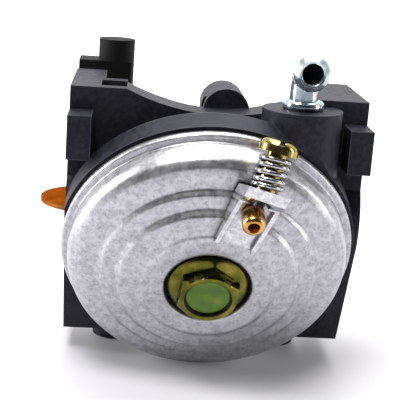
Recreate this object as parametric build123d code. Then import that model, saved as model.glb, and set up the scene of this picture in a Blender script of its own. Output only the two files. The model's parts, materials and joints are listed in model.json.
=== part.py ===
"""Float-bowl carburetor, in millimetres.

The origin is on the throat axis at the engine flange's face. +X leaves the throat towards the engine,
+Z is up as the carburetor stands, and the float bowl looks forward and down, towards -Y.
"""

from build123d import *
import math
import os

os.makedirs("parts", exist_ok=True)

# ---- driving dimensions -------------------------------------------------------------------------
# Throat and casting
body_length = 64.0
bore_r = 11.0
venturi_r = 8.5
throat_wall = 3.5
register_r = 13.0
register_depth = 4.0
flange_thickness = 7.0
flange_top = 27.5
flange_bottom = -30.5
flange_front = -12.0
flange_back = 17.0
flange_bolt_pcd = 44.0
flange_bolt_r = 3.2
corner_block_length = 12.0
corner_block_depth = 14.0
corner_block_height = 12.5
saddle_dip = 4.5
saddle_depth = 10.0
lug_reach = 8.0
lug_width = 5.0
lug_height = 9.3
lug_drop = 5.0
rear_boss_r = 6.0
lower_block_height = 10.0
pocket_width = 5.6
pocket_depth = 5.0
rear_boss_back = 20.0
vent_boss_r = 5.2

# Float bowl, in its own frame: z up in use, 0 at the bowl's rim
bowl_tilt = 25.0
bowl_drop = 15.0
bowl_r = 30.0
bowl_sheet = 0.8
bowl_depth = 12.8
rim_lip = 1.6
gasket_thickness = 0.6
cover_thickness = 5.0
cover_overhang = 0.6
recess_r = 9.3
recess_depth = 2.0
column_r = 5.5
bolt_reach = 7.5
bolt_r = 3.0
bolt_hex_flats = 12.0
bolt_hex_height = 3.1
bolt_flange_r = 8.4
bolt_flange_thickness = 1.4
washer_thickness = 0.8

# Drain
drain_angle = 18.5
drain_lean = 36.0
drain_block_width = 8.8
drain_seat_r = bowl_r - 2.0
drain_seat_z = 0.5 - bowl_depth
drain_nozzle_at = bowl_r - 7.7
drain_screw_tip = 1.6
drain_wall_height = 1.2
drain_nozzle_r = 2.35
drain_bore_r = 1.1
drain_screw_r = 2.0
drain_head_r = 4.0
drain_head_height = 2.6
drain_spring_r = 3.4
drain_spring_wire = 0.8
drain_spring_length = 7.6
drain_spring_turns = 5

# Fuel inlet
inlet_boss_x = -15.0
inlet_boss_y = -16.0
inlet_boss_r = 8.5
inlet_boss_top = 26.0
elbow_tube_r = 3.0
elbow_bore_r = 2.2
elbow_collar_r = 4.4
elbow_collar_height = 2.0
elbow_rise = 8.5
elbow_reach = 9.5
elbow_bead_r = 3.8
elbow_land = 1.6

# Butterflies
plate_thickness = 0.9
plate_gap = 0.12
choke_from_face = 4.6
throttle_from_face = 17.0
shaft_r = 3.0
running_gap = 0.05
shaft_front = -13.6
lever_thickness = 3.0
lever_gap = 0.6
plate_screw_r = 1.2
plate_screw_at = 5.5

# Float and needle
float_outer_r = bowl_r - 5.4
float_inner_r = 8.6
float_height = 4.0
float_rest_z = -7.3
pivot_y = 4.6 - bowl_r
pivot_z = -3.6
pivot_r = 1.0
pivot_post_x = 6.5
needle_arm = 8.0
needle_r = 1.6
needle_length = 7.0
seat_r = 3.0
seat_bore_r = 1.15
jet_r = 2.0
tube_r = 1.5

# Levers, stop screw, pilot screw and feet
choke_knob_z = 29.0
choke_knob_r = 4.3
choke_knob_height = 11.0
throttle_arm = 15.0
lever_hub_r = 6.0
link_hole_r = 1.3
idle_r = 1.5
idle_z = -10.0
idle_lug_x = -34.0
idle_spring_length = 7.0
idle_lug_half = 3.0
idle_head_r = 3.2
idle_head_height = 2.6
pilot_r = 2.0
pilot_x = -21.5
pilot_y = 6.0
pilot_top = 17.0
pilot_boss_r = 4.5
pilot_depth = 6.0
pilot_head_r = 3.2
foot_x = -14.0
foot_y = 10.0
foot_z = -35.4
foot_r = 5.5

# ---- placing helpers ----------------------------------------------------------------------------
bowl_x = -body_length / 2 - 1.0
tilt = math.radians(bowl_tilt)
bowl_frame = Location(
    (bowl_x, -bowl_drop * math.cos(tilt), -bowl_drop * math.sin(tilt)), (bowl_tilt - 90.0, 0, 0)
)
choke_x = choke_from_face - body_length
vent_boss_x = bowl_x + 3.0
vent_boss_z = flange_top - saddle_dip - 0.7
idle_y = rear_boss_back + lever_gap + 1.0
throttle_x = -throttle_from_face


def along_x(radius, start, end, y=0.0, z=0.0):
    return Pos((start + end) / 2, y, z) * Rot(0, 90, 0) * Cylinder(radius, end - start)


def along_y(radius, start, end, x=0.0, z=0.0):
    return Pos(x, (start + end) / 2, z) * Rot(90, 0, 0) * Cylinder(radius, end - start)


def along_z(radius, start, end, x=0.0, y=0.0):
    return Pos(x, y, (start + end) / 2) * Cylinder(radius, end - start)


def block(x0, x1, y0, y1, z0, z1):
    return Pos((x0 + x1) / 2, (y0 + y1) / 2, (z0 + z1) / 2) * Box(x1 - x0, y1 - y0, z1 - z0)


def between(start, end, radius):
    """A round bar from one point to another."""
    run = end - start
    return Plane(origin=start, z_dir=run) * Pos(0, 0, run.length / 2) * Cylinder(radius, run.length)


def revolved(points):
    """A ring about Z whose half section is the outline of (radius, z) points."""
    outline = Polyline(*[(r, 0, z) for r, z in points], close=True)
    return revolve(make_face(outline), Axis.Z, 360)


def coil(radius, wire, length, turns):
    """A plain compression spring that stands on z = 0 along +Z."""
    pitch = (length - wire) / turns
    path = Helix(pitch, pitch * turns, radius - wire / 2)
    section = Plane(origin=path @ 0, z_dir=path % 0) * Circle(wire / 2)
    return Pos(0, 0, wire / 2) * sweep(section, path=path, is_frenet=True)


def in_bowl(point):
    """A point of the bowl's frame, in the part's frame."""
    return (bowl_frame * Pos(*point)).position


# ---- drain direction, in the bowl's frame ---------------------------------------------------------
drain_turn = math.radians(drain_angle)
drain_out = Vector(math.sin(drain_turn), -math.cos(drain_turn), 0)
lean = math.radians(drain_lean)
screw_dir = drain_out * math.cos(lean) + Vector(0, 0, math.sin(lean))
screw_seat = drain_out * drain_seat_r + Vector(0, 0, drain_seat_z)
drain_plane = Plane(origin=(0, 0, 0), x_dir=drain_out, z_dir=drain_out.cross(Vector(0, 0, 1)))
screw_plane = Plane(origin=screw_seat, z_dir=screw_dir)


# ---- float bowl -----------------------------------------------------------------------------------
def bowl_outline():
    """The pressed bowl's outer half section, from the rim inwards to the bolt's recess."""
    face = -bowl_depth
    return [
        (bowl_r, -1.4),
        (bowl_r, face + 8.2),
        (bowl_r - 0.6, face + 6.4),
        (bowl_r - 1.9, face + 5.1),
        (bowl_r - 3.4, face + 4.5),
        (bowl_r - 6.4, face + 4.2),
        (bowl_r - 7.4, face + 2.9),
        (bowl_r - 10.2, face + 2.6),
        (bowl_r - 11.4, face + 1.1),
        (bowl_r - 15.4, face + 0.7),
        (bowl_r - 16.4, face),
        (recess_r, face),
    ]


def bowl_envelope():
    points = [(0, -1.4)] + bowl_outline() + [(0, -bowl_depth)]
    return revolved(points)


def float_bowl():
    outer = bowl_outline()
    floor = -bowl_depth + recess_depth
    sheet = bowl_sheet
    inner = [(r - sheet, z + sheet) for r, z in outer[:-1]]
    lip = bowl_r + rim_lip
    points = [(lip, 0), (lip, -1.4)] + outer
    points += [(recess_r - 0.5, floor), (bolt_r + 0.2, floor), (bolt_r + 0.2, floor + sheet)]
    points += [(recess_r + sheet - 0.3, floor + sheet), (recess_r + sheet, -bowl_depth + sheet)]
    points += list(reversed(inner[1:])) + [(bowl_r - sheet, 0)]
    bowl = revolved(points)
    drain_hole = drain_out * drain_nozzle_at
    bowl -= along_z(drain_bore_r, -bowl_depth - 2, 0, drain_hole.X, drain_hole.Y)
    return bowl_frame * bowl


def bowl_gasket():
    ring = along_z(bowl_r + rim_lip - 0.2, 0, gasket_thickness)
    ring -= along_z(bowl_r - bowl_sheet - 0.8, -1, gasket_thickness + 1)
    return bowl_frame * ring


def bowl_bolt():
    """Flanged hex bolt: shank into the column, flange on its washer, a dished head."""
    seat = -bowl_depth + recess_depth - washer_thickness
    top = seat - bolt_flange_thickness
    flange = Pos(0, 0, top) * extrude(Circle(bolt_flange_r), bolt_flange_thickness)
    flange = chamfer(flange.edges().group_by(Axis.Z)[0], bolt_flange_thickness * 0.6)
    hexagon = RegularPolygon(bolt_hex_flats / 2, 6, major_radius=False, rotation=8)
    head = Pos(0, 0, top - bolt_hex_height) * extrude(hexagon, bolt_hex_height)
    corner_r = bolt_hex_flats / 2 * 1.155
    bevel = Pos(0, 0, top - bolt_hex_height + 3) * Cone(corner_r - 1.3, corner_r + 2.2, 6)
    head &= bevel
    dish_z = top - bolt_hex_height
    head -= Pos(0, 0, dish_z + 0.45) * Cone(bolt_hex_flats * 0.36, bolt_hex_flats * 0.32, 0.9)
    shank = along_z(bolt_r - running_gap, seat, -bowl_depth + recess_depth + bolt_reach)
    return bowl_frame * (flange + head + shank)


def bolt_washer():
    seat = -bowl_depth + recess_depth
    ring = along_z(bolt_flange_r - 0.4, seat - washer_thickness, seat)
    ring -= along_z(bolt_r + 0.1, seat - 2, seat + 2)
    return bowl_frame * ring


# ---- drain ----------------------------------------------------------------------------------------
def drain_block():
    """The drain's seat on the bowl's face: a trough with raised edges and a slanted spring seat."""
    across = screw_seat + screw_dir.cross(drain_plane.z_dir) * (drain_spring_r + 0.2)
    opposite = screw_seat - screw_dir.cross(drain_plane.z_dir) * (drain_spring_r + 0.4)
    ends = sorted([(p.dot(drain_out), p.Z) for p in (across, opposite)])
    low, high = ends
    face = -bowl_depth - drain_wall_height
    outline = [(recess_r + 4.2, face), (high[0] - 4.6, face), (high[0] - 2.6, high[1]), high, low]
    outline += [(recess_r + 4.2, low[1])]
    half = drain_block_width / 2
    side = make_face(drain_plane * Polyline(*outline, close=True))
    solid = extrude(side, half, dir=drain_plane.z_dir) + extrude(side, -half, dir=drain_plane.z_dir)
    trough_end = high[0] - 5.0
    floor = [(recess_r + 3.0, face - 1), (trough_end, face - 1), (trough_end, -bowl_depth)]
    floor += [(recess_r + 3.0, -bowl_depth)]
    trough = make_face(drain_plane * Polyline(*floor, close=True))
    depth = half - 0.9
    solid -= extrude(trough, depth, dir=drain_plane.z_dir)
    solid -= extrude(trough, -depth, dir=drain_plane.z_dir)
    solid -= bowl_envelope()
    hole = drain_out * drain_nozzle_at
    solid -= along_z(drain_nozzle_r - 0.8, -bowl_depth - 6, 0, hole.X, hole.Y)
    solid -= screw_plane * along_z(drain_screw_r + running_gap, -5.0, 5.0)
    return bowl_frame * solid


def drain_nozzle():
    """Brass drain tube with a rounded mouth, its spigot in the drain block."""
    hole = drain_out * drain_nozzle_at
    floor = -bowl_depth
    tube = Pos(hole.X, hole.Y, floor - 4.6) * extrude(Circle(drain_nozzle_r), 4.6)
    tube = fillet(tube.edges().group_by(Axis.Z)[0], 0.9)
    tube += along_z(drain_nozzle_r - 0.8 - 0.02, floor - 0.1, floor + 0.35, hole.X, hole.Y)
    tube -= along_z(drain_bore_r, floor - 8, floor + 4, hole.X, hole.Y)
    return bowl_frame * tube


def drain_screw():
    """Pan-head slotted screw that holds the drain shut, along the drain screw's axis."""
    under = drain_spring_length
    head = Pos(0, 0, under) * extrude(Circle(drain_head_r), drain_head_height)
    head = fillet(head.edges().group_by(Axis.Z)[-1], 1.5)
    head -= Pos(0, 0, under + drain_head_height) * Box(drain_head_r * 3, 1.1, 2.2)
    shank = along_z(drain_screw_r, -drain_screw_tip, under + 0.2)
    return bowl_frame * (screw_plane * (head + shank))


def drain_spring():
    spring = coil(drain_spring_r, drain_spring_wire, drain_spring_length - 0.1, drain_spring_turns)
    return bowl_frame * (screw_plane * (Pos(0, 0, 0.05) * spring))


# ---- fuel inlet -----------------------------------------------------------------------------------
def fuel_inlet_elbow():
    """Right-angle hose stem: spigot, collar, riser and a beaded barb that points forward."""
    x, y = inlet_boss_x, inlet_boss_y
    foot = inlet_boss_top
    middle = foot + elbow_rise
    tip = y - elbow_reach
    collar = Pos(x, y, foot) * extrude(Circle(elbow_collar_r), elbow_collar_height)
    collar = fillet(collar.edges().group_by(Axis.Z)[-1], 0.8)
    outer = collar + along_z(elbow_tube_r, foot - 6, middle, x, y)
    outer += Pos(x, y, middle) * Sphere(elbow_tube_r)
    outer += along_y(elbow_tube_r, tip, y, x, middle)
    outer += along_y(elbow_bead_r, tip + 1.2, tip + 1.2 + elbow_land, x, middle)
    nose = Pos(x, tip + 0.6, middle) * Rot(90, 0, 0) * Cone(elbow_bead_r, elbow_tube_r, 1.2)
    back_end = tip + 1.2 + elbow_land
    tail = Pos(x, back_end + 1.0, middle) * Rot(-90, 0, 0) * Cone(elbow_bead_r, elbow_tube_r, 2.0)
    outer += nose + tail
    inner = along_z(elbow_bore_r, foot - 8, middle, x, y)
    inner += Pos(x, y, middle) * Sphere(elbow_bore_r)
    inner += along_y(elbow_bore_r, tip - 2, y, x, middle)
    return outer - inner


# ---- casting --------------------------------------------------------------------------------------
def flange(x0, x1):
    plate = block(x0, x1, flange_front, flange_back, flange_bottom, flange_top)
    return fillet(plate.edges().filter_by(Axis.X), 1.5)


def corner_blocks():
    blocks = []
    low = flange_top - corner_block_height
    for x0 in (-body_length, -corner_block_length):
        back = flange_front + corner_block_depth
        x1 = x0 + corner_block_length
        blocks.append(block(x0, x1, flange_front, back, low, flange_top))
        blocks.append(block(x0, x1, flange_front, back, flange_bottom, flange_bottom + lower_block_height))
    return blocks


def block_pocket():
    """The pocket in the top of the choke side's corner block, open towards the saddle."""
    x1 = -body_length + corner_block_length
    y0 = flange_front + 3.0
    y1 = flange_front + corner_block_depth - 3.0
    return block(x1 - pocket_width, x1 + 1, y0, y1, flange_top - pocket_depth, flange_top + 1)


def front_lugs():
    """Lugs that stand forward of the flanges' outer edges."""
    lugs = []
    top = flange_top - lug_drop
    for x0 in (-body_length, -lug_width):
        front = flange_front - lug_reach
        lugs.append(block(x0, x0 + lug_width, front, flange_front + 1, top - lug_height, top))
    return lugs


def saddle_web():
    """The web between the top corner blocks, its upper edge a long hollow curve."""
    x0 = -body_length + corner_block_length
    x1 = -corner_block_length
    middle = (x0 + x1) / 2
    edge = ThreePointArc((x0, 0, flange_top), (middle, 0, flange_top - saddle_dip), (x1, 0, flange_top))
    sides = Polyline((x1, 0, flange_top), (x1, 0, 0), (x0, 0, 0), (x0, 0, flange_top))
    web = extrude(make_face(edge + sides), saddle_depth, dir=(0, 1, 0))
    return Pos(0, flange_front, 0) * web


def throat_hollow():
    """The bore: a bell intake, the choke chamber, the venturi, the throttle bore and the register."""
    l = body_length
    points = [(0, -l - 1), (bore_r + 1.5, -l - 1), (bore_r + 1.5, -l), (bore_r, -l + 2.0)]
    points += [(bore_r, -l + 19), (venturi_r, -l + 27), (venturi_r, -l + 29), (bore_r, -l + 36)]
    points += [(bore_r, -register_depth), (register_r, -register_depth), (register_r, 1), (0, 1)]
    return Rot(0, 90, 0) * revolved(points)


def float_cover():
    """The round cover over the float bowl with its centre column, in the bowl's frame."""
    top = gasket_thickness + cover_thickness
    cover = along_z(bowl_r + rim_lip + cover_overhang, gasket_thickness, top)
    column_end = -bowl_depth + recess_depth + bowl_sheet
    cover += along_z(column_r, column_end, gasket_thickness + 1)
    for side in (-1, 1):
        x = side * pivot_post_x
        low = pivot_z - 1.8
        cover += block(x - 1.5, x + 1.5, pivot_y - 1.8, pivot_y + 1.8, low, gasket_thickness + 1)
    return cover


def float_hollows():
    """Holes that belong to the float chamber, in the bowl's frame."""
    hollow = along_z(bolt_r, -20, -3.0)
    hollow += along_z(jet_r, -4, 0.6) + along_z(tube_r, 0, bowl_drop)
    pin = Pos(0, pivot_y, pivot_z) * Rot(0, 90, 0) * Cylinder(pivot_r, 18)
    needle_y = pivot_y + needle_arm
    hollow += pin + along_z(seat_r, -1, 7.5, 0, needle_y)
    return hollow


def shaft_bosses():
    bosses = []
    for x in (choke_x, throttle_x):
        bosses.append(along_y(rear_boss_r, 0, rear_boss_back, x))
    return bosses


def casting():
    body = along_x(bore_r + throat_wall, -body_length, 0)
    body += flange(-body_length, -body_length + flange_thickness)
    body += flange(-flange_thickness, 0)
    for piece in corner_blocks() + front_lugs() + shaft_bosses():
        body += piece
    body -= block_pocket()
    body += saddle_web()
    vent_y = flange_front + 8
    body += along_y(vent_boss_r, vent_y, vent_y + 14, vent_boss_x, vent_boss_z)
    vent_x0 = vent_boss_x - 4
    vent_x1 = vent_boss_x + 4
    body += block(vent_x0, vent_x1, flange_front + 0.5, vent_y + 9.6, 11, vent_boss_z)
    body += along_z(inlet_boss_r, 2.0, inlet_boss_top, inlet_boss_x, inlet_boss_y)
    for x in (foot_x, 2 * bowl_x - foot_x):
        body += along_z(foot_r, foot_z, -8.0, x, foot_y)
    lug_x0 = idle_lug_x - idle_lug_half
    lug_x1 = idle_lug_x + idle_lug_half
    body += block(lug_x0, lug_x1, 8.0, idle_y + 3.2, idle_z - 3.5, idle_z + 3.5)
    body += along_z(pilot_boss_r, 8.0, pilot_top, pilot_x, pilot_y)
    body += bowl_frame * float_cover()
    # keep the casting clear of the bowl's side of the joint, except for the column and pivot posts
    below = bowl_frame * along_z(bowl_r + 16, -40, gasket_thickness)
    inside = bowl_frame * along_z(bowl_r - 1.5, -40, gasket_thickness)
    outside = body - below
    body = outside + (bowl_frame * float_cover() & inside)
    body -= throat_hollow()
    body -= block(-body_length - 10, -body_length, -40, 40, -40, 40)
    body -= bowl_frame * float_hollows()
    for x in (choke_x, throttle_x):
        body -= along_y(shaft_r + running_gap, shaft_front - 0.2, rear_boss_back + 1, x)
        body -= along_y(shaft_r + 2.0, rear_boss_back - 2.0, rear_boss_back + 1, x)
    for side in (-1, 1):
        body -= along_x(flange_bolt_r, -body_length - 1, 1, 0, side * flange_bolt_pcd / 2)
    body -= along_z(elbow_tube_r, inlet_boss_top - 14, inlet_boss_top + 1, inlet_boss_x, inlet_boss_y)
    body -= along_x(idle_r + running_gap, idle_lug_x - 4, idle_lug_x + 4, idle_y, idle_z)
    body -= along_z(pilot_r, pilot_top - pilot_depth, pilot_top + 1, pilot_x, pilot_y)
    passage_end = in_bowl((0, pivot_y + needle_arm, 6.5))
    passage_start = Vector(inlet_boss_x, inlet_boss_y, inlet_boss_top - 13)
    body -= between(passage_start, passage_end, 1.2)
    return body


# ---- butterflies ----------------------------------------------------------------------------------
shaft_back = rear_boss_back + lever_gap + lever_thickness


def butterfly_shaft(x, upright):
    """A shaft along Y with a slot for its plate and a square end for its lever."""
    shaft = along_y(shaft_r, shaft_front, rear_boss_back + lever_gap, x)
    side = 2 * shaft_r * 0.68
    shaft += block(x - side / 2, x + side / 2, rear_boss_back, shaft_back, -side / 2, side / 2)
    half = plate_thickness / 2
    reach = bore_r - 0.1
    if upright:
        shaft -= block(x - half, x + half, -reach, reach, -9, 9)
    else:
        shaft -= block(x - 9, x + 9, -reach, reach, -half, half)
    shaft -= Pos(x, 0, 0) * screw_holes(plate_screw_r, upright)
    shaft -= along_y(1.3, shaft_back - 7, shaft_back + 1, x)
    return shaft


def screw_holes(radius, upright):
    holes = []
    for y in (-plate_screw_at, plate_screw_at):
        if upright:
            holes.append(along_x(radius, -9, 9, y))
        else:
            holes.append(along_z(radius, -9, 9, 0, y))
    return Compound(holes)


def butterfly_plate(x, upright):
    half = plate_thickness / 2
    if upright:
        plate = along_x(bore_r - plate_gap, -half, half)
    else:
        plate = along_z(bore_r - plate_gap, -half, half)
    return Pos(x, 0, 0) * (plate - screw_holes(plate_screw_r, upright))


def plate_screws(x, upright):
    """Two slotted screws through the shaft and its plate."""
    screws = []
    for y in (-plate_screw_at, plate_screw_at):
        head = Pos(0, y, shaft_r - 0.4) * extrude(Circle(1.9), 1.3)
        head = fillet(head.edges().group_by(Axis.Z)[-1], 0.5)
        head -= Pos(0, y, shaft_r + 0.9) * Box(4.5, 0.5, 0.9)
        stem = along_z(plate_screw_r, -shaft_r + 0.4, shaft_r - 0.3, 0, y)
        screws.append(head + stem)
    turn = Rot(0, -90, 0) if upright else Rot(0, 0, 0)
    place = Pos(x, 0, 0) * turn
    return [place * screw for screw in screws]


def head_pockets(x, upright):
    """The flats that the screw heads sit on."""
    pockets = []
    for y in (-plate_screw_at, plate_screw_at):
        pocket = Pos(0, y, shaft_r + 1.6) * Box(12, 4.4, 4.0)
        pockets.append(pocket)
    turn = Rot(0, -90, 0) if upright else Rot(0, 0, 0)
    return Pos(x, 0, 0) * turn * Compound(pockets)


def square_hole(x, y0, y1):
    side = 2 * shaft_r * 0.68
    return block(x - side / 2, x + side / 2, y0, y1, -side / 2, side / 2)


def choke_lever():
    """Moulded lever behind the casting, with an upright knob at its end."""
    y0 = rear_boss_back + lever_gap
    y1 = y0 + lever_thickness
    lever = along_y(lever_hub_r, y0, y1, choke_x)
    lever += block(choke_x - 3.5, choke_x + 3.5, y0, y1, 0, choke_knob_z)
    foot = choke_knob_z - 6.0
    back = y0 + 2 * choke_knob_r
    lever += block(choke_x - 4.5, choke_x + choke_knob_r + 3.6, y0, back, foot, choke_knob_z)
    knob_top = foot + choke_knob_height
    lever += along_z(choke_knob_r, foot, knob_top, choke_x + 4.3, y0 + choke_knob_r)
    return lever - square_hole(choke_x, y0 - 1, y1 + 1)


def throttle_lever():
    """Pressed lever: an arm down to the idle stop and one to the governor link's hole."""
    y0 = rear_boss_back + lever_gap
    y1 = y0 + lever_thickness - 1.0
    lever = along_y(lever_hub_r, y0, y1, throttle_x)
    lever += block(throttle_x - 3.0, throttle_x + 3.0, y0, y1, -throttle_arm, 0)
    lever += along_y(3.0, y0, y1, throttle_x, -throttle_arm)
    lever -= along_y(link_hole_r, y0 - 1, y1 + 1, throttle_x, -throttle_arm)
    return lever - square_hole(throttle_x, y0 - 1, y1 + 1)


def lever_screw(x, thickness):
    """Washer-head screw that holds a lever on its shaft's square end."""
    y0 = rear_boss_back + lever_gap + thickness
    head = along_y(4.2, y0, y0 + 0.8, x)
    hexagon = extrude(RegularPolygon(3.0, 6, major_radius=False), 2.0)
    head += Pos(x, y0 + 2.8, 0) * Rot(90, 0, 0) * hexagon
    return head + along_y(1.3, shaft_back - 6, y0 + 0.1, x)


def shaft_seal(x):
    seal = along_y(shaft_r + 1.95, rear_boss_back - 1.95, rear_boss_back - 0.3, x)
    return seal - along_y(shaft_r + running_gap, rear_boss_back - 4, rear_boss_back + 4, x)


# ---- small screws ---------------------------------------------------------------------------------
def idle_speed_screw():
    head_x = idle_lug_x - idle_lug_half - idle_spring_length - 0.2
    screw = along_x(idle_r, head_x - 0.1, throttle_x - 3.3, idle_y, idle_z)
    end = head_x - idle_head_height
    head = along_x(idle_head_r, end, head_x, idle_y, idle_z)
    slot = block(end - 1, end + 1, idle_y - 4, idle_y + 4, idle_z - 0.5, idle_z + 0.5)
    return screw + head - slot


def idle_speed_spring():
    spring = coil(2.8, 0.6, idle_spring_length, 5)
    return Pos(idle_lug_x - idle_lug_half - 0.1 - idle_spring_length, idle_y, idle_z) * Rot(0, 90, 0) * spring


def pilot_screw():
    """Slotted idle-passage screw that stands in its boss beside the throat."""
    end = pilot_top - pilot_depth + 0.5
    screw = along_z(pilot_r - running_gap, end, pilot_top + 0.5, pilot_x, pilot_y)
    head = Pos(pilot_x, pilot_y, pilot_top) * extrude(Circle(pilot_head_r), 2.4)
    head = fillet(head.edges().group_by(Axis.Z)[-1], 0.5)
    return screw + head - Pos(pilot_x, pilot_y, pilot_top + 2.4) * Box(8, 0.9, 2.0)


# ---- float, needle and jets, in the bowl's frame ---------------------------------------------------
def float_body():
    """Ring float with a hinge arm; its needle tab lies under the inlet needle."""
    ring = along_z(float_outer_r, float_rest_z, float_rest_z + float_height)
    ring -= along_z(float_inner_r, float_rest_z - 1, float_rest_z + float_height + 1)
    ring -= block(-12, 12, -40, pivot_y + needle_arm + 3, float_rest_z - 1, 5)
    top = float_rest_z + float_height
    arm = block(-4.5, 4.5, pivot_y, -8.8, top - 1.2, top)
    riser = block(-4.5, 4.5, pivot_y - 1.0, pivot_y + 1.0, top - 1.2, pivot_z)
    knuckle = Pos(0, pivot_y, pivot_z) * Rot(0, 90, 0) * Cylinder(2.0, 9.0)
    pin = Pos(0, pivot_y, pivot_z) * Rot(0, 90, 0) * Cylinder(pivot_r + running_gap, 20)
    return bowl_frame * (ring + arm + riser + knuckle - pin)


def float_pin():
    return bowl_frame * Pos(0, pivot_y, pivot_z) * Rot(0, 90, 0) * Cylinder(pivot_r, 17)


needle_foot = float_rest_z + float_height + 0.3


def inlet_needle():
    y = pivot_y + needle_arm
    tip = needle_foot + needle_length
    body = along_z(needle_r, needle_foot, tip - 2.0, 0, y)
    body += Pos(0, y, tip - 1.0) * Cone(needle_r, 0.4, 2.0)
    return bowl_frame * body


def inlet_seat():
    """Brass insert that guides the needle and ends in its conical seat."""
    y = pivot_y + needle_arm
    seat = along_z(seat_r, -0.6, 7.5, 0, y)
    guide_end = needle_foot + needle_length - 0.6
    seat -= along_z(needle_r + running_gap, -2, guide_end, 0, y)
    seat -= along_z(seat_bore_r, guide_end - 1, 9, 0, y)
    return bowl_frame * seat


def main_jet():
    jet = along_z(jet_r, -2.6, -0.4) - along_z(0.5, -4, 2)
    return bowl_frame * (jet - Pos(0, 0, -2.6) * Box(5, 0.6, 1.2))


def emulsion_tube():
    """Brass tube from the jet up into the venturi."""
    tube = along_z(jet_r, -0.4, 0.6) + along_z(tube_r, 0.6, bowl_drop - venturi_r * 0.5)
    tube -= along_z(0.8, -2, bowl_drop)
    for z in (2.2, 4.0):
        tube -= Pos(0, 0, z) * Rot(0, 90, 0) * Cylinder(0.35, 6)
    return bowl_frame * tube


def write(name, shape):
    if isinstance(shape, list):
        shape = Compound(children=shape)
    export_step(shape, f"parts/{name}.step")


choke_shaft = butterfly_shaft(choke_x, False) - head_pockets(choke_x, False)
throttle_shaft = butterfly_shaft(throttle_x, True) - head_pockets(throttle_x, True)

write("carburetor_body", casting())
write("float_bowl", float_bowl())
write("bowl_gasket", bowl_gasket())
write("bowl_bolt", bowl_bolt())
write("bolt_washer", bolt_washer())
write("drain_block", drain_block())
write("drain_nozzle", drain_nozzle())
write("drain_screw", drain_screw())
write("drain_spring", drain_spring())
write("fuel_inlet_elbow", fuel_inlet_elbow())
write("choke_shaft", choke_shaft)
write("choke_plate", butterfly_plate(choke_x, False))
write("choke_plate_screws", plate_screws(choke_x, False))
write("choke_lever", choke_lever())
write("choke_lever_screw", lever_screw(choke_x, lever_thickness))
write("choke_shaft_seal", shaft_seal(choke_x))
write("throttle_shaft", throttle_shaft)
write("throttle_plate", butterfly_plate(throttle_x, True))
write("throttle_plate_screws", plate_screws(throttle_x, True))
write("throttle_lever", throttle_lever())
write("throttle_lever_screw", lever_screw(throttle_x, lever_thickness))
write("throttle_shaft_seal", shaft_seal(throttle_x))
write("idle_speed_screw", idle_speed_screw())
write("idle_speed_spring", idle_speed_spring())
write("pilot_screw", pilot_screw())
write("float", float_body())
write("float_pin", float_pin())
write("inlet_needle", inlet_needle())
write("inlet_seat", inlet_seat())
write("main_jet", main_jet())
write("emulsion_tube", emulsion_tube())
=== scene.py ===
"""Looks of the float-bowl carburetor: materials for the CAD pieces, and finer meshes for the pressed,
turned and wound ones. Lengths are in metres; the bowl's own frame has z up in use and 0 at its rim."""

import json
import math

import bmesh
import bpy
from mathutils import Matrix, Vector


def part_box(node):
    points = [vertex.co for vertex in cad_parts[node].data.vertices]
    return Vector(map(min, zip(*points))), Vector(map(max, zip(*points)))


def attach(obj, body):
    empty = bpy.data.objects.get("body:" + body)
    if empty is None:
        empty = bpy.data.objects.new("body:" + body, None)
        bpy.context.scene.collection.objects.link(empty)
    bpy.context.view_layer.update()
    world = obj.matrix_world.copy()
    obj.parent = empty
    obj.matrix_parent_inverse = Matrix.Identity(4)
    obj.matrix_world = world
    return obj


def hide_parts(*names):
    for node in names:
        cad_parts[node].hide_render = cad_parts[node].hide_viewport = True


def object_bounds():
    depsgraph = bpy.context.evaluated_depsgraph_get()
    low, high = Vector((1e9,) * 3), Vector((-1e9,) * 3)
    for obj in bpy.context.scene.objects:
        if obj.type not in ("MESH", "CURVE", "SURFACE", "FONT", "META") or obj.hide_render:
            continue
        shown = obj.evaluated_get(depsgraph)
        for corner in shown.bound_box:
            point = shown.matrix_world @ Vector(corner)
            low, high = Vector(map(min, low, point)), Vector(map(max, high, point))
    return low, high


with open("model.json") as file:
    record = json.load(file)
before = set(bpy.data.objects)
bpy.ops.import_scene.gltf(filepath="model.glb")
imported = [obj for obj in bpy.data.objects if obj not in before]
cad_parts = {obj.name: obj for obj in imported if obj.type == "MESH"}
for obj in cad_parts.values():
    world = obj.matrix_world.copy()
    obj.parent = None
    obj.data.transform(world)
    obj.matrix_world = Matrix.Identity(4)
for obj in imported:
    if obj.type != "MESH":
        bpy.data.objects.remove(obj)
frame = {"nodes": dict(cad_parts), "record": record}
cad_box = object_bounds()
MM = 0.001

# ---- where things are -----------------------------------------------------------------------------
BOWL_TILT = math.radians(25.0)
BOWL_DROP = 15.0 * MM
BOWL_R = 30.0 * MM
BOWL_DEPTH = 12.8 * MM
DRAIN_ANGLE = math.radians(18.5)
DRAIN_LEAN = math.radians(36.0)
DRAIN_SEAT_R = 28.0 * MM
DRAIN_SEAT_Z = -12.3 * MM
DRAIN_NOZZLE_AT = 22.3 * MM
RECESS_R = 9.3 * MM
RECESS_DEPTH = 2.0 * MM
SHEET = 0.8 * MM

bowl_x = (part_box("float_bowl")[0][0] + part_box("float_bowl")[1][0]) / 2
bowl_place = (
    Matrix.Translation((bowl_x, -BOWL_DROP * math.cos(BOWL_TILT), -BOWL_DROP * math.sin(BOWL_TILT)))
    @ Matrix.Rotation(BOWL_TILT - math.pi / 2, 4, "X")
)
drain_out = Vector((math.sin(DRAIN_ANGLE), -math.cos(DRAIN_ANGLE), 0))
screw_dir = drain_out * math.cos(DRAIN_LEAN) + Vector((0, 0, math.sin(DRAIN_LEAN)))
screw_seat = drain_out * DRAIN_SEAT_R + Vector((0, 0, DRAIN_SEAT_Z))
screw_turn = screw_dir.to_track_quat("Z", "X").to_matrix().to_4x4()
screw_place = bowl_place @ Matrix.Translation(screw_seat) @ screw_turn


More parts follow.
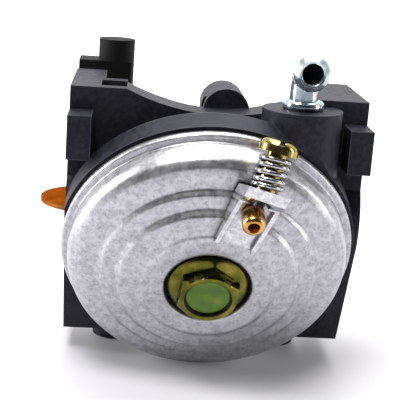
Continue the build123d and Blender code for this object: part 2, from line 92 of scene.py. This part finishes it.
# ---- materials ------------------------------------------------------------------------------------
class Shader:
    """A material with a Principled shader and short calls for the nodes that feed it."""

    def __init__(self, name, **sockets):
        self.material = bpy.data.materials.new(name)
        self.material.use_nodes = True
        self.nodes = self.material.node_tree.nodes
        self.links = self.material.node_tree.links
        self.shader = self.nodes["Principled BSDF"]
        for key, value in sockets.items():
            self.shader.inputs[key.replace("_", " ")].default_value = value
        self.place = self.nodes.new("ShaderNodeTexCoord").outputs["Object"]

    def noise(self, scale, detail=4.0, roughness=0.55):
        node = self.nodes.new("ShaderNodeTexNoise")
        node.inputs["Scale"].default_value = scale
        node.inputs["Detail"].default_value = detail
        node.inputs["Roughness"].default_value = roughness
        self.links.new(self.place, node.inputs["Vector"])
        return node.outputs["Fac"]

    def ramp(self, source, *stops):
        node = self.nodes.new("ShaderNodeValToRGB")
        ramp = node.color_ramp
        while len(ramp.elements) < len(stops):
            ramp.elements.new(0.5)
        for element, (position, colour) in zip(ramp.elements, stops):
            element.position = position
            element.color = (*colour, 1) if len(colour) == 3 else colour
        self.links.new(source, node.inputs["Fac"])
        return node.outputs["Color"]

    def mix(self, fac, first, second, blend="MIX"):
        node = self.nodes.new("ShaderNodeMix")
        node.data_type = "RGBA"
        node.blend_type = blend
        sockets = {"fac": node.inputs[0], "a": node.inputs[6], "b": node.inputs[7]}
        for key, value in (("fac", fac), ("a", first), ("b", second)):
            if isinstance(value, bpy.types.NodeSocket):
                self.links.new(value, sockets[key])
            elif key == "fac":
                sockets[key].default_value = value
            else:
                sockets[key].default_value = (*value, 1)
        return node.outputs[2]

    def edges(self, distance=0.4 * MM):
        """Painted highlight along the outer edges, from the bevelled normal against the true one."""
        bevel = self.nodes.new("ShaderNodeBevel")
        bevel.samples = 6
        bevel.inputs["Radius"].default_value = distance
        geometry = self.nodes.new("ShaderNodeNewGeometry")
        dot = self.nodes.new("ShaderNodeVectorMath")
        dot.operation = "DOT_PRODUCT"
        self.links.new(bevel.outputs["Normal"], dot.inputs[0])
        self.links.new(geometry.outputs["Normal"], dot.inputs[1])
        return self.ramp(dot.outputs["Value"], (0.80, (1, 1, 1)), (0.97, (0, 0, 0)))

    def painted_crease_shade(self, distance, low, high=1.0):
        """Painted shade: grey that falls to low in the corners where pieces meet or a wall rises."""
        node = self.nodes.new("ShaderNodeAmbientOcclusion")
        node.samples = 8
        node.inputs["Distance"].default_value = distance
        return self.ramp(node.outputs["AO"], (0.35, (low,) * 3), (0.92, (high,) * 3))

    def set(self, socket, source):
        self.links.new(source, self.shader.inputs[socket])
        return self

    def bump(self, height, strength, distance):
        node = self.nodes.new("ShaderNodeBump")
        node.inputs["Strength"].default_value = strength
        node.inputs["Distance"].default_value = distance
        self.links.new(height, node.inputs["Height"])
        self.links.new(node.outputs["Normal"], self.shader.inputs["Normal"])
        return self


def cast_alloy():
    s = Shader("cast_alloy", Metallic=0.5, Roughness=0.5, Specular_IOR_Level=0.16)
    grain = s.noise(900, 6, 0.6)
    cloud = s.noise(70, 3)
    base = s.ramp(cloud, (0.3, (0.017, 0.0172, 0.0225)), (0.7, (0.028, 0.0285, 0.0365)))
    speck = s.ramp(grain, (0.42, (0.75, 0.75, 0.78)), (0.62, (1.2, 1.2, 1.25)))
    colour = s.mix(1.0, base, speck, "MULTIPLY")
    # the outer edges are painted a lighter grey as a highlight
    edge_highlighted = s.mix(s.edges(), colour, (0.085, 0.085, 0.10))
    s.set("Base Color", edge_highlighted)
    s.set("Roughness", s.ramp(grain, (0.3, (0.42, 0.42, 0.42)), (0.7, (0.62, 0.62, 0.62))))
    return s.bump(grain, 0.35, 0.12 * MM).material


def plated_sheet(name, low, high, rough=(0.3, 0.46), grain=0.10, crease_shade_low=0.28):
    """Clear zinc plate: pale metal with a fine mottled spangle, and painted shade in its corners."""
    s = Shader(name, Metallic=0.92)
    fine = s.noise(1700, 5, 0.7)
    spangle = s.noise(620, 5, 0.7)
    colour = s.ramp(spangle, (0.38, low), (0.60, high))
    dots = s.ramp(fine, (0.32, (0.62, 0.62, 0.64)), (0.50, (1, 1, 1)))
    mottled = s.mix(1.0, colour, dots, "MULTIPLY")
    # painted shade: the colour darkens in the corners and at the bowl's step walls
    s.set("Base Color", s.mix(1.0, mottled, s.painted_crease_shade(1.4 * MM, crease_shade_low), "MULTIPLY"))
    s.set("Roughness", s.ramp(spangle, (0.3, (rough[0],) * 3), (0.7, (rough[1],) * 3)))
    return s.bump(fine, grain, 0.06 * MM).material


def yellow_plate():
    """Yellow passivate: gold with drifts of olive and a little rose."""
    s = Shader("yellow_plate", Metallic=1.0)
    drift = s.noise(210, 3, 0.5)
    fine = s.noise(1400, 3)
    colour = s.ramp(drift, (0.30, (0.17, 0.16, 0.04)), (0.45, (0.40, 0.30, 0.08)), (0.56, (0.60, 0.42, 0.13)),
                    (0.68, (0.48, 0.26, 0.18)))
    s.set("Base Color", colour)
    s.set("Roughness", s.ramp(drift, (0.3, (0.12,) * 3), (0.7, (0.22,) * 3)))
    return s.bump(fine, 0.08, 0.05 * MM).material


def olive_plate():
    s = Shader("olive_plate", Metallic=1.0)
    drift = s.noise(190, 3, 0.5)
    colour = s.ramp(
        drift, (0.32, (0.055, 0.062, 0.008)), (0.5, (0.15, 0.145, 0.022)), (0.66, (0.30, 0.24, 0.05))
    )
    # painted shade darkens the flange in its corners and beside the hex
    s.set("Base Color", s.mix(1.0, colour, s.painted_crease_shade(2.6 * MM, 0.06), "MULTIPLY"))
    s.set("Roughness", s.ramp(drift, (0.3, (0.13,) * 3), (0.7, (0.24,) * 3)))
    return s.bump(s.noise(1400, 3), 0.08, 0.05 * MM).material


def green_dye():
    """Clear green dye on the dished face of the bolt."""
    s = Shader("green_dye", Metallic=0.25, Roughness=0.34)
    drift = s.noise(330, 3, 0.5)
    dye = s.ramp(drift, (0.3, (0.055, 0.125, 0.001)), (0.6, (0.10, 0.20, 0.002)), (0.75, (0.17, 0.22, 0.006)))
    s.set("Base Color", dye)
    return s.bump(s.noise(900, 3), 0.1, 0.05 * MM).material


def turned_metal(name, dark, light, rough=0.24, edge=(1, 1, 1, 1)):
    s = Shader(name, Metallic=1.0, Specular_Tint=edge)
    drift = s.noise(320, 4, 0.6)
    s.set("Base Color", s.ramp(drift, (0.32, dark), (0.66, light)))
    s.set("Roughness", s.ramp(drift, (0.3, (rough,) * 3), (0.7, (rough + 0.14,) * 3)))
    return s.bump(s.noise(1700, 3), 0.08, 0.04 * MM).material


def moulding(name, colour, rough=0.42):
    s = Shader(name, Metallic=0.0, Specular_IOR_Level=0.18)
    grain = s.noise(1900, 4, 0.6)
    lighter = tuple(c * 1.9 + 0.0008 for c in colour)
    s.set("Base Color", s.ramp(grain, (0.35, colour), (0.7, lighter)))
    s.set("Roughness", s.ramp(grain, (0.3, (rough,) * 3), (0.7, (rough + 0.16,) * 3)))
    return s.bump(grain, 0.25, 0.05 * MM).material


def fibre_sheet():
    s = Shader("fibre_sheet", Roughness=0.85)
    fibre = s.noise(1200, 8, 0.75)
    s.set("Base Color", s.ramp(fibre, (0.35, (0.13, 0.06, 0.04)), (0.7, (0.28, 0.15, 0.10))))
    return s.bump(fibre, 0.5, 0.08 * MM).material


MATERIALS = {
    "casting": cast_alloy(),
    "zinc_steel": plated_sheet("zinc_steel", (0.38, 0.38, 0.40), (0.54, 0.54, 0.56), (0.30, 0.42), 0.14),
    "yellow_zinc": yellow_plate(),
    "blue_zinc": plated_sheet("blue_zinc", (0.40, 0.50, 0.56), (0.66, 0.74, 0.79), (0.14, 0.26), 0.05),
    "brass": turned_metal("brass", (0.50, 0.24, 0.06), (0.86, 0.50, 0.17), 0.2),
    "copper_brass": turned_metal(
        "copper_brass", (0.18, 0.062, 0.012), (0.32, 0.125, 0.028), 0.3, (0.75, 0.35, 0.12, 1)
    ),
    # the last number sets how dark the painted shade between the coils falls
    "spring_steel": plated_sheet(
        "spring_steel", (0.34, 0.34, 0.36), (0.52, 0.52, 0.54), (0.07, 0.13), 0.02, 0.04
    ),
    "shaft_steel": turned_metal("shaft_steel", (0.42, 0.42, 0.43), (0.66, 0.66, 0.67), 0.28),
    "black_plastic": moulding("black_plastic", (0.0014, 0.0014, 0.0018), 0.6),
    "float_foam": moulding("float_foam", (0.012, 0.012, 0.013), 0.5),
    "gasket": moulding("gasket", (0.014, 0.014, 0.014), 0.7),
    "fibre": fibre_sheet(),
}
drain_zinc = plated_sheet("drain_zinc", (0.50, 0.50, 0.52), (0.74, 0.74, 0.76), (0.13, 0.22), 0.06, 0.06)
# near-black painted shade for the band around the bolt's dish
recess = moulding("recess", (0.004, 0.0045, 0.0015), 0.4)
olive = olive_plate()
green = green_dye()
node_slot = {part["node"]: part["material_slot"] for part in frame["record"]["subparts"]}


def paint(piece, *materials):
    piece.data.materials.clear()
    for material in materials:
        piece.data.materials.append(material)


def soften(piece, width, angle=math.radians(32)):
    """Rounds a machined or cast piece's edges."""
    bevel = piece.modifiers.new("edge", "BEVEL")
    bevel.width = width
    bevel.segments = 3
    bevel.limit_method = "ANGLE"
    bevel.angle_limit = angle
    bevel.harden_normals = True


# ---- mesh helpers ---------------------------------------------------------------------------------
def rounded(points, radius, steps=4):
    """The same (r, z) outline with each inner corner turned by an arc of about that radius."""
    done = [points[0]]
    for before, corner, after in zip(points, points[1:], points[2:]):
        c = Vector(corner)
        a = Vector(before) - c
        b = Vector(after) - c
        cut = min(radius, a.length * 0.48, b.length * 0.48)
        start = c + a.normalized() * cut
        end = c + b.normalized() * cut
        for k in range(steps + 1):
            t = k / steps
            done.append(tuple((1 - t) ** 2 * start + 2 * t * (1 - t) * c + t * t * end))
    done.append(points[-1])
    return done


def lathe(name, outline, segments, place, body, slot, replaces=(), smooth_angle=40):
    """A turned piece about local Z from an (r, z) outline; a closed outline makes a closed ring."""
    mesh = bpy.data.meshes.new(name)
    bm = bmesh.new()
    rings = []
    for r, z in outline:
        if r < 1e-7:
            rings.append([bm.verts.new((0, 0, z))])
            continue
        ring = []
        for k in range(segments):
            angle = 2 * math.pi * k / segments
            ring.append(bm.verts.new((r * math.cos(angle), r * math.sin(angle), z)))
        rings.append(ring)
    closed = rings[0] if len(rings[0]) > 1 and len(rings[-1]) > 1 else None
    pairs = list(zip(rings, rings[1:])) + ([(rings[-1], closed)] if closed else [])
    for low, high in pairs:
        for k in range(segments):
            n = (k + 1) % segments
            if len(low) == 1:
                corners = (low[0], high[n], high[k])
            elif len(high) == 1:
                corners = (low[k], low[n], high[0])
            else:
                corners = (low[k], low[n], high[n], high[k])
            bm.faces.new(corners)
    bmesh.ops.recalc_face_normals(bm, faces=bm.faces)
    bm.transform(place)
    bm.to_mesh(mesh)
    bm.free()
    return adopt(bpy.data.objects.new(name, mesh), body, slot, replaces, smooth_angle)


def adopt(piece, body, slot, replaces=(), smooth_angle=40):
    bpy.context.collection.objects.link(piece)
    if piece.type == "MESH":
        piece.data.shade_smooth()
        piece.data.set_sharp_from_angle(angle=math.radians(smooth_angle))
    paint(piece, MATERIALS[slot])
    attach(piece, body)
    if replaces:
        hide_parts(*replaces)
    return piece


def wound_spring(name, radius, wire, length, turns, place, body, slot, replaces):
    """A compression spring along local Z whose end turns close up flat."""
    curve = bpy.data.curves.new(name, "CURVE")
    curve.dimensions = "3D"
    curve.bevel_depth = wire / 2
    curve.bevel_resolution = 4
    curve.use_fill_caps = True
    steps = 28
    spline = curve.splines.new("POLY")
    total = int((turns + 2) * steps)
    spline.points.add(total)
    free = length - 3 * wire
    for k in range(total + 1):
        turn = k / steps
        rise = min(max((turn - 1) / turns, 0), 1)
        ends = min(turn, 1) * wire + max(turn - turns - 1, 0) * wire
        angle = 2 * math.pi * turn
        z = wire / 2 + ends + rise * free
        middle_r = radius - wire / 2
        point = place @ Vector((middle_r * math.cos(angle), middle_r * math.sin(angle), z))
        spline.points[k].co = (*point, 1)
        spline.points[k].radius = 1.0
    return adopt(bpy.data.objects.new(name, curve), body, slot, replaces)


# ---- pieces ---------------------------------------------------------------------------------------
FIXED = "casting_group"


def bowl_pressing():
    """The deep-drawn bowl: rolled lip, tall side, stepped rings, flat face and the bolt's recess."""
    face = -BOWL_DEPTH
    floor = face + RECESS_DEPTH
    steps = [(0.0, 8.2), (0.6, 6.4), (1.9, 5.1), (3.4, 4.5), (6.4, 4.2), (7.4, 2.9), (10.2, 2.6),
             (11.4, 1.1), (15.4, 0.7), (16.4, 0.0)]
    outer = [(BOWL_R - r * MM, face + z * MM) for r, z in steps]
    lip = BOWL_R + 1.6 * MM
    outside = [(lip - 0.1 * MM, 0), (lip, -0.7 * MM), (lip - 0.3 * MM, -1.35 * MM), (BOWL_R, -1.5 * MM)]
    outside += outer
    outside += [(RECESS_R, face), (RECESS_R - 0.5 * MM, floor), (3.2 * MM, floor)]
    inside = [(3.2 * MM, floor + SHEET), (RECESS_R + 0.5 * MM, floor + SHEET)]
    inside += [(RECESS_R + SHEET, face + SHEET)]
    inside += [(r - SHEET, z + SHEET) for r, z in reversed(outer[:-1])] + [(BOWL_R - SHEET, 0)]
    outline = rounded(outside, 0.55 * MM) + rounded(inside, 0.4 * MM, 2)
    return lathe("bowl_pressing", outline, 192, bowl_place, FIXED, "zinc_steel", ("float_bowl",))


def flanged_bolt():
    """Hex bolt with a wide rolled flange, chamfered corners and a dished, dyed face, with painted shade on
    the band round the dish.
    """
    seat = -BOWL_DEPTH + 1.2 * MM
    top = seat - 1.4 * MM
    end = top - 3.1 * MM
    half_flats = 6.0 * MM
    corner = half_flats / math.cos(math.pi / 6)
    dish = 4.8 * MM
    flange_r = 8.4 * MM
    turn = math.radians(8)
    sides = 96
    chamfer_z = end + 0.8 * MM
    # each level is a round of the given radius, or the hexagon with its corners cut at that radius
    levels = [
        ("round", flange_r, seat),
        ("round", flange_r, seat - 0.5 * MM),
        ("round", flange_r - 0.35 * MM, seat - 0.8 * MM),
        ("round", corner + 0.35 * MM, top + 0.1 * MM),
        ("hex", corner + 0.05 * MM, top - 0.25 * MM),
        ("hex", corner + 0.05 * MM, chamfer_z),
        ("hex", corner - 0.95 * MM, end),
        ("round", dish + 0.25 * MM, end),
        ("round", dish, end + 0.15 * MM),
        ("round", dish - 0.3 * MM, end + 0.75 * MM),
    ]
    # the flat ring and rim around the dish are painted near-black as shade
    shaded_dish_bands = (len(levels) - 3, len(levels) - 2)

    def hexagon(angle):
        return half_flats / math.cos((angle + math.pi / 6) % (math.pi / 3) - math.pi / 6)

    mesh = bpy.data.meshes.new("flanged_bolt")
    bm = bmesh.new()
    rings = []
    for kind, size, z in levels:
        ring = []
        for k in range(sides):
            angle = 2 * math.pi * k / sides
            r = size if kind == "round" else min(hexagon(angle), size)
            # the chamfer is deep at the corners and runs out at the middle of each flat
            drop = (corner - hexagon(angle)) * 0.75 if z == chamfer_z else 0.0
            ring.append(bm.verts.new((r * math.cos(angle + turn), r * math.sin(angle + turn), z - drop)))
        rings.append(ring)
    for band, (low, high) in enumerate(zip(rings, rings[1:])):
        for k in range(sides):
            n = (k + 1) % sides
            face = bm.faces.new((low[k], low[n], high[n], high[k]))
            face.material_index = 2 if band in shaded_dish_bands else 0
    bm.faces.new(rings[0])
    cap = bm.faces.new(rings[-1])
    inner = bmesh.ops.inset_individual(bm, faces=[cap], thickness=0.5 * MM)["faces"]
    for face in [cap] + list(inner):
        face.material_index = 1
    bmesh.ops.recalc_face_normals(bm, faces=bm.faces)
    dye_and_shade_slots = [face.material_index for face in bm.faces]
    bm.transform(bowl_place)
    bm.to_mesh(mesh)
    bm.free()
    piece = adopt(bpy.data.objects.new("flanged_bolt", mesh), FIXED, "yellow_zinc", ("bowl_bolt",), 28)
    # the third material is the painted shade round the dish
    paint(piece, olive, green, recess)
    # clearing the materials reset the faces, so their numbers go back on
    mesh.polygons.foreach_set("material_index", dye_and_shade_slots)
    return piece


def drain_tube():
    """Turned brass outlet with a bulged body and a rounded mouth."""
    hole = drain_out * DRAIN_NOZZLE_AT
    place = bowl_place @ Matrix.Translation((hole.x, hole.y, -BOWL_DEPTH))
    outer = [(1.1, 0.3), (1.5, 0.3), (1.5, -0.05), (2.25, -0.1), (2.35, -1.2), (2.35, -3.6), (2.1, -4.25),
             (1.6, -4.6), (1.25, -4.55), (1.1, -4.3)]
    outline = [(r * MM, z * MM) for r, z in outer]
    return lathe("drain_tube", rounded(outline, 0.35 * MM), 64, place, FIXED, "brass", ("drain_nozzle",))


def hose_elbow():
    """Bent steel hose stem: the collar and riser turned, the barb swept forward with its bead."""
    low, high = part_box("fuel_inlet_elbow")
    x = (low[0] + high[0]) / 2
    bead = 3.8 * MM
    tube = 3.0 * MM
    bore = 2.2 * MM
    axis_z = high[2] - bead
    foot = low[2] + 6.0 * MM
    riser_y = low[1] + 9.5 * MM
    collar_r = 4.4 * MM
    bend = 3.2 * MM
    # stations along the stem: distance along its centre line and radius
    straight = axis_z - bend - foot
    arc = bend * math.pi / 2
    reach = 9.5 * MM - bend
    spigot_r = 2.98 * MM
    stations = [(-6.0 * MM, spigot_r), (0, spigot_r), (0.001 * MM, collar_r - 0.2 * MM)]
    stations += [(0.35 * MM, collar_r), (1.4 * MM, collar_r), (1.8 * MM, collar_r - 0.35 * MM)]
    stations += [(2.0 * MM, collar_r - 1.1 * MM), (2.05 * MM, tube)]
    stations += [(straight * k / 4 + 2.2 * MM * (1 - k / 4), tube) for k in range(1, 5)]
    stations += [(straight + arc * k / 14, tube) for k in range(1, 15)]
    tip = straight + arc + reach
    stations += [(tip - 5.0 * MM, tube), (tip - 4.0 * MM, tube + 0.15 * MM),
                 (tip - 2.9 * MM, bead - 0.08 * MM),
                 (tip - 2.6 * MM, bead), (tip - 1.4 * MM, bead), (tip - 1.0 * MM, bead - 0.2 * MM),
                 (tip - 0.3 * MM, tube - 0.05 * MM), (tip, tube - 0.3 * MM), (tip, bore + 0.15 * MM)]
    inner = [(tip - 0.15 * MM, bore), (straight + arc, bore)]
    inner += [(straight + arc * k / 14, bore) for k in range(13, -1, -1)]
    inner += [(-6.0 * MM, bore)]

    def frame_at(s):
        if s <= straight:
            return Vector((x, riser_y, foot + s)), Vector((0, 0, 1))
        angle = min((s - straight) / bend, math.pi / 2)
        centre = Vector((x, riser_y - bend, foot + straight))
        on_arc = centre + Vector((0, math.cos(angle), math.sin(angle))) * bend
        run = Vector((0, -math.sin(angle), math.cos(angle)))
        extra = max(s - straight - arc, 0)
        return on_arc + run * extra, run

    mesh = bpy.data.meshes.new("hose_elbow")
    bm = bmesh.new()
    side = Vector((1, 0, 0))
    rings = []
    for s, r in stations + inner:
        centre, run = frame_at(s)
        up = side.cross(run)
        ring = []
        for k in range(64):
            angle = 2 * math.pi * k / 64
            ring.append(bm.verts.new(centre + (side * math.cos(angle) + up * math.sin(angle)) * r))
        rings.append(ring)
    for first, second in zip(rings, rings[1:] + rings[:1]):
        for k in range(64):
            n = (k + 1) % 64
            bm.faces.new((first[k], first[n], second[n], second[k]))
    bmesh.ops.recalc_face_normals(bm, faces=bm.faces)
    bm.to_mesh(mesh)
    bm.free()
    return adopt(bpy.data.objects.new("hose_elbow", mesh), FIXED, "blue_zinc", ("fuel_inlet_elbow",), 50)


def finish_cad_nodes():
    """Materials for the CAD pieces that stay, and rounded edges where they show."""
    soft_edges = {"carburetor_body": 0.35, "choke_lever": 0.3, "throttle_lever": 0.15, "drain_block": 0.16,
                  "drain_screw": 0.08, "pilot_screw": 0.1, "idle_speed_screw": 0.1, "choke_lever_screw": 0.1,
                  "throttle_lever_screw": 0.1, "choke_plate": 0.08, "throttle_plate": 0.08}
    for name, piece in frame["nodes"].items():
        paint(piece, drain_zinc if name == "drain_block" else MATERIALS[node_slot[name]])
        if name in soft_edges:
            soften(piece, soft_edges[name] * MM)


finish_cad_nodes()
bowl_pressing()
flanged_bolt()
drain_tube()
hose_elbow()
spring_foot = screw_place @ Matrix.Translation((0, 0, 0.05 * MM))
wound_spring("drain_coil", 3.4 * MM, 1.05 * MM, 7.45 * MM, 3, spring_foot,
             FIXED, "spring_steel", ("drain_spring",))


# ---- floor, light and camera ----------------------------------------------------------------------
def studio():
    low, high = cad_box
    middle = (Vector(low) + Vector(high)) / 2
    floor_material = Shader("paper", Roughness=0.6)
    tint = floor_material.noise(14, 2)
    paper = floor_material.ramp(tint, (0.3, (0.50, 0.49, 0.52)), (0.7, (0.53, 0.52, 0.55)))
    floor_material.set("Base Color", paper)
    floor_material.shader.inputs["Emission Color"].default_value = (1, 1, 1, 1)
    # the paper glows more the further it lies behind the part
    split_place = floor_material.nodes.new("ShaderNodeSeparateXYZ")
    glow = floor_material.nodes.new("ShaderNodeMapRange")
    floor_material.links.new(floor_material.place, split_place.inputs[0])
    floor_material.links.new(split_place.outputs["Y"], glow.inputs["Value"])
    for key, value in (("From Min", 0.0), ("From Max", 0.28), ("To Min", 0.09), ("To Max", 1.1)):
        glow.inputs[key].default_value = value
    floor_material.links.new(glow.outputs["Result"], floor_material.shader.inputs["Emission Strength"])
    mesh = bpy.data.meshes.new("paper_sweep")
    bm = bmesh.new()
    rows = []
    run = [(-1.2, 0), (0.5, 0)]
    bend = 0.4
    for k in range(1, 11):
        angle = math.pi / 2 * k / 10
        run.append((0.5 + bend * math.sin(angle), bend - bend * math.cos(angle)))
    run += [(0.9, 1.6)]
    for y, z in run:
        rows.append([bm.verts.new((middle.x + x, y, low[2] + z)) for x in (-2.0, 2.0)])
    for first, second in zip(rows, rows[1:]):
        bm.faces.new((first[0], first[1], second[1], second[0]))
    bm.to_mesh(mesh)
    bm.free()
    sweep = bpy.data.objects.new("paper_sweep", mesh)
    sweep.data.shade_smooth()
    bpy.context.collection.objects.link(sweep)
    sweep.data.materials.append(floor_material.material)

    def area(name, where, size, power):
        lamp = bpy.data.lights.new(name, "AREA")
        lamp.shape = "RECTANGLE"
        lamp.size, lamp.size_y = size
        lamp.energy = power
        obj = bpy.data.objects.new(name, lamp)
        obj.location = middle + Vector(where)
        obj.rotation_euler = (-Vector(where)).to_track_quat("-Z", "Y").to_euler()
        bpy.context.collection.objects.link(obj)

    area("key", (-0.12, -0.17, 0.46), (0.22, 0.16), 3.0)
    area("top", (0.05, 0.12, 0.50), (0.50, 0.35), 3.3)
    area("left", (-0.45, 0.03, 0.12), (0.10, 0.30), 1.8)
    area("right", (0.42, -0.08, 0.06), (0.08, 0.30), 0.6)
    world = bpy.data.worlds.new("studio")
    world.use_nodes = True
    sky = world.node_tree
    place = sky.nodes.new("ShaderNodeTexCoord")
    split = sky.nodes.new("ShaderNodeSeparateXYZ")
    fade = sky.nodes.new("ShaderNodeValToRGB")
    fade.color_ramp.elements[0].position = 0.30
    fade.color_ramp.elements[0].color = (0.05, 0.05, 0.055, 1)
    fade.color_ramp.elements[1].position = 0.62
    fade.color_ramp.elements[1].color = (1, 1, 1, 1)
    shift = sky.nodes.new("ShaderNodeMapRange")
    shift.inputs["From Min"].default_value = -1.0
    sky.links.new(place.outputs["Generated"], split.inputs[0])
    sky.links.new(split.outputs["Y"], shift.inputs["Value"])
    sky.links.new(shift.outputs["Result"], fade.inputs["Fac"])
    sky.links.new(fade.outputs["Color"], sky.nodes["Background"].inputs["Color"])
    sky.nodes["Background"].inputs["Strength"].default_value = 0.6
    bpy.context.scene.world = world
    bpy.context.scene.view_settings.view_transform = "Standard"


def camera():
    """Looks down a little from just left of square-on, with a slight clockwise roll."""
    azimuth, elevation, roll = math.radians(-4.0), math.radians(14.0), math.radians(4.0)
    distance = 0.24
    framed_width = 0.0870
    aim = Vector((bowl_x - 2.0 * MM, -0.012, 0.0041))
    level = math.cos(elevation)
    back = Vector((math.sin(azimuth) * level, -math.cos(azimuth) * level, math.sin(elevation)))
    data = bpy.data.cameras.new("camera")
    data.sensor_width = 36.0
    data.lens = data.sensor_width * distance / framed_width
    data.clip_start = 0.01
    obj = bpy.data.objects.new("camera", data)
    turn = back.to_track_quat("Z", "Y").to_matrix().to_4x4() @ Matrix.Rotation(roll, 4, "Z")
    obj.matrix_world = Matrix.Translation(aim + back * distance) @ turn
    bpy.context.collection.objects.link(obj)
    bpy.context.scene.camera = obj


studio()
camera()
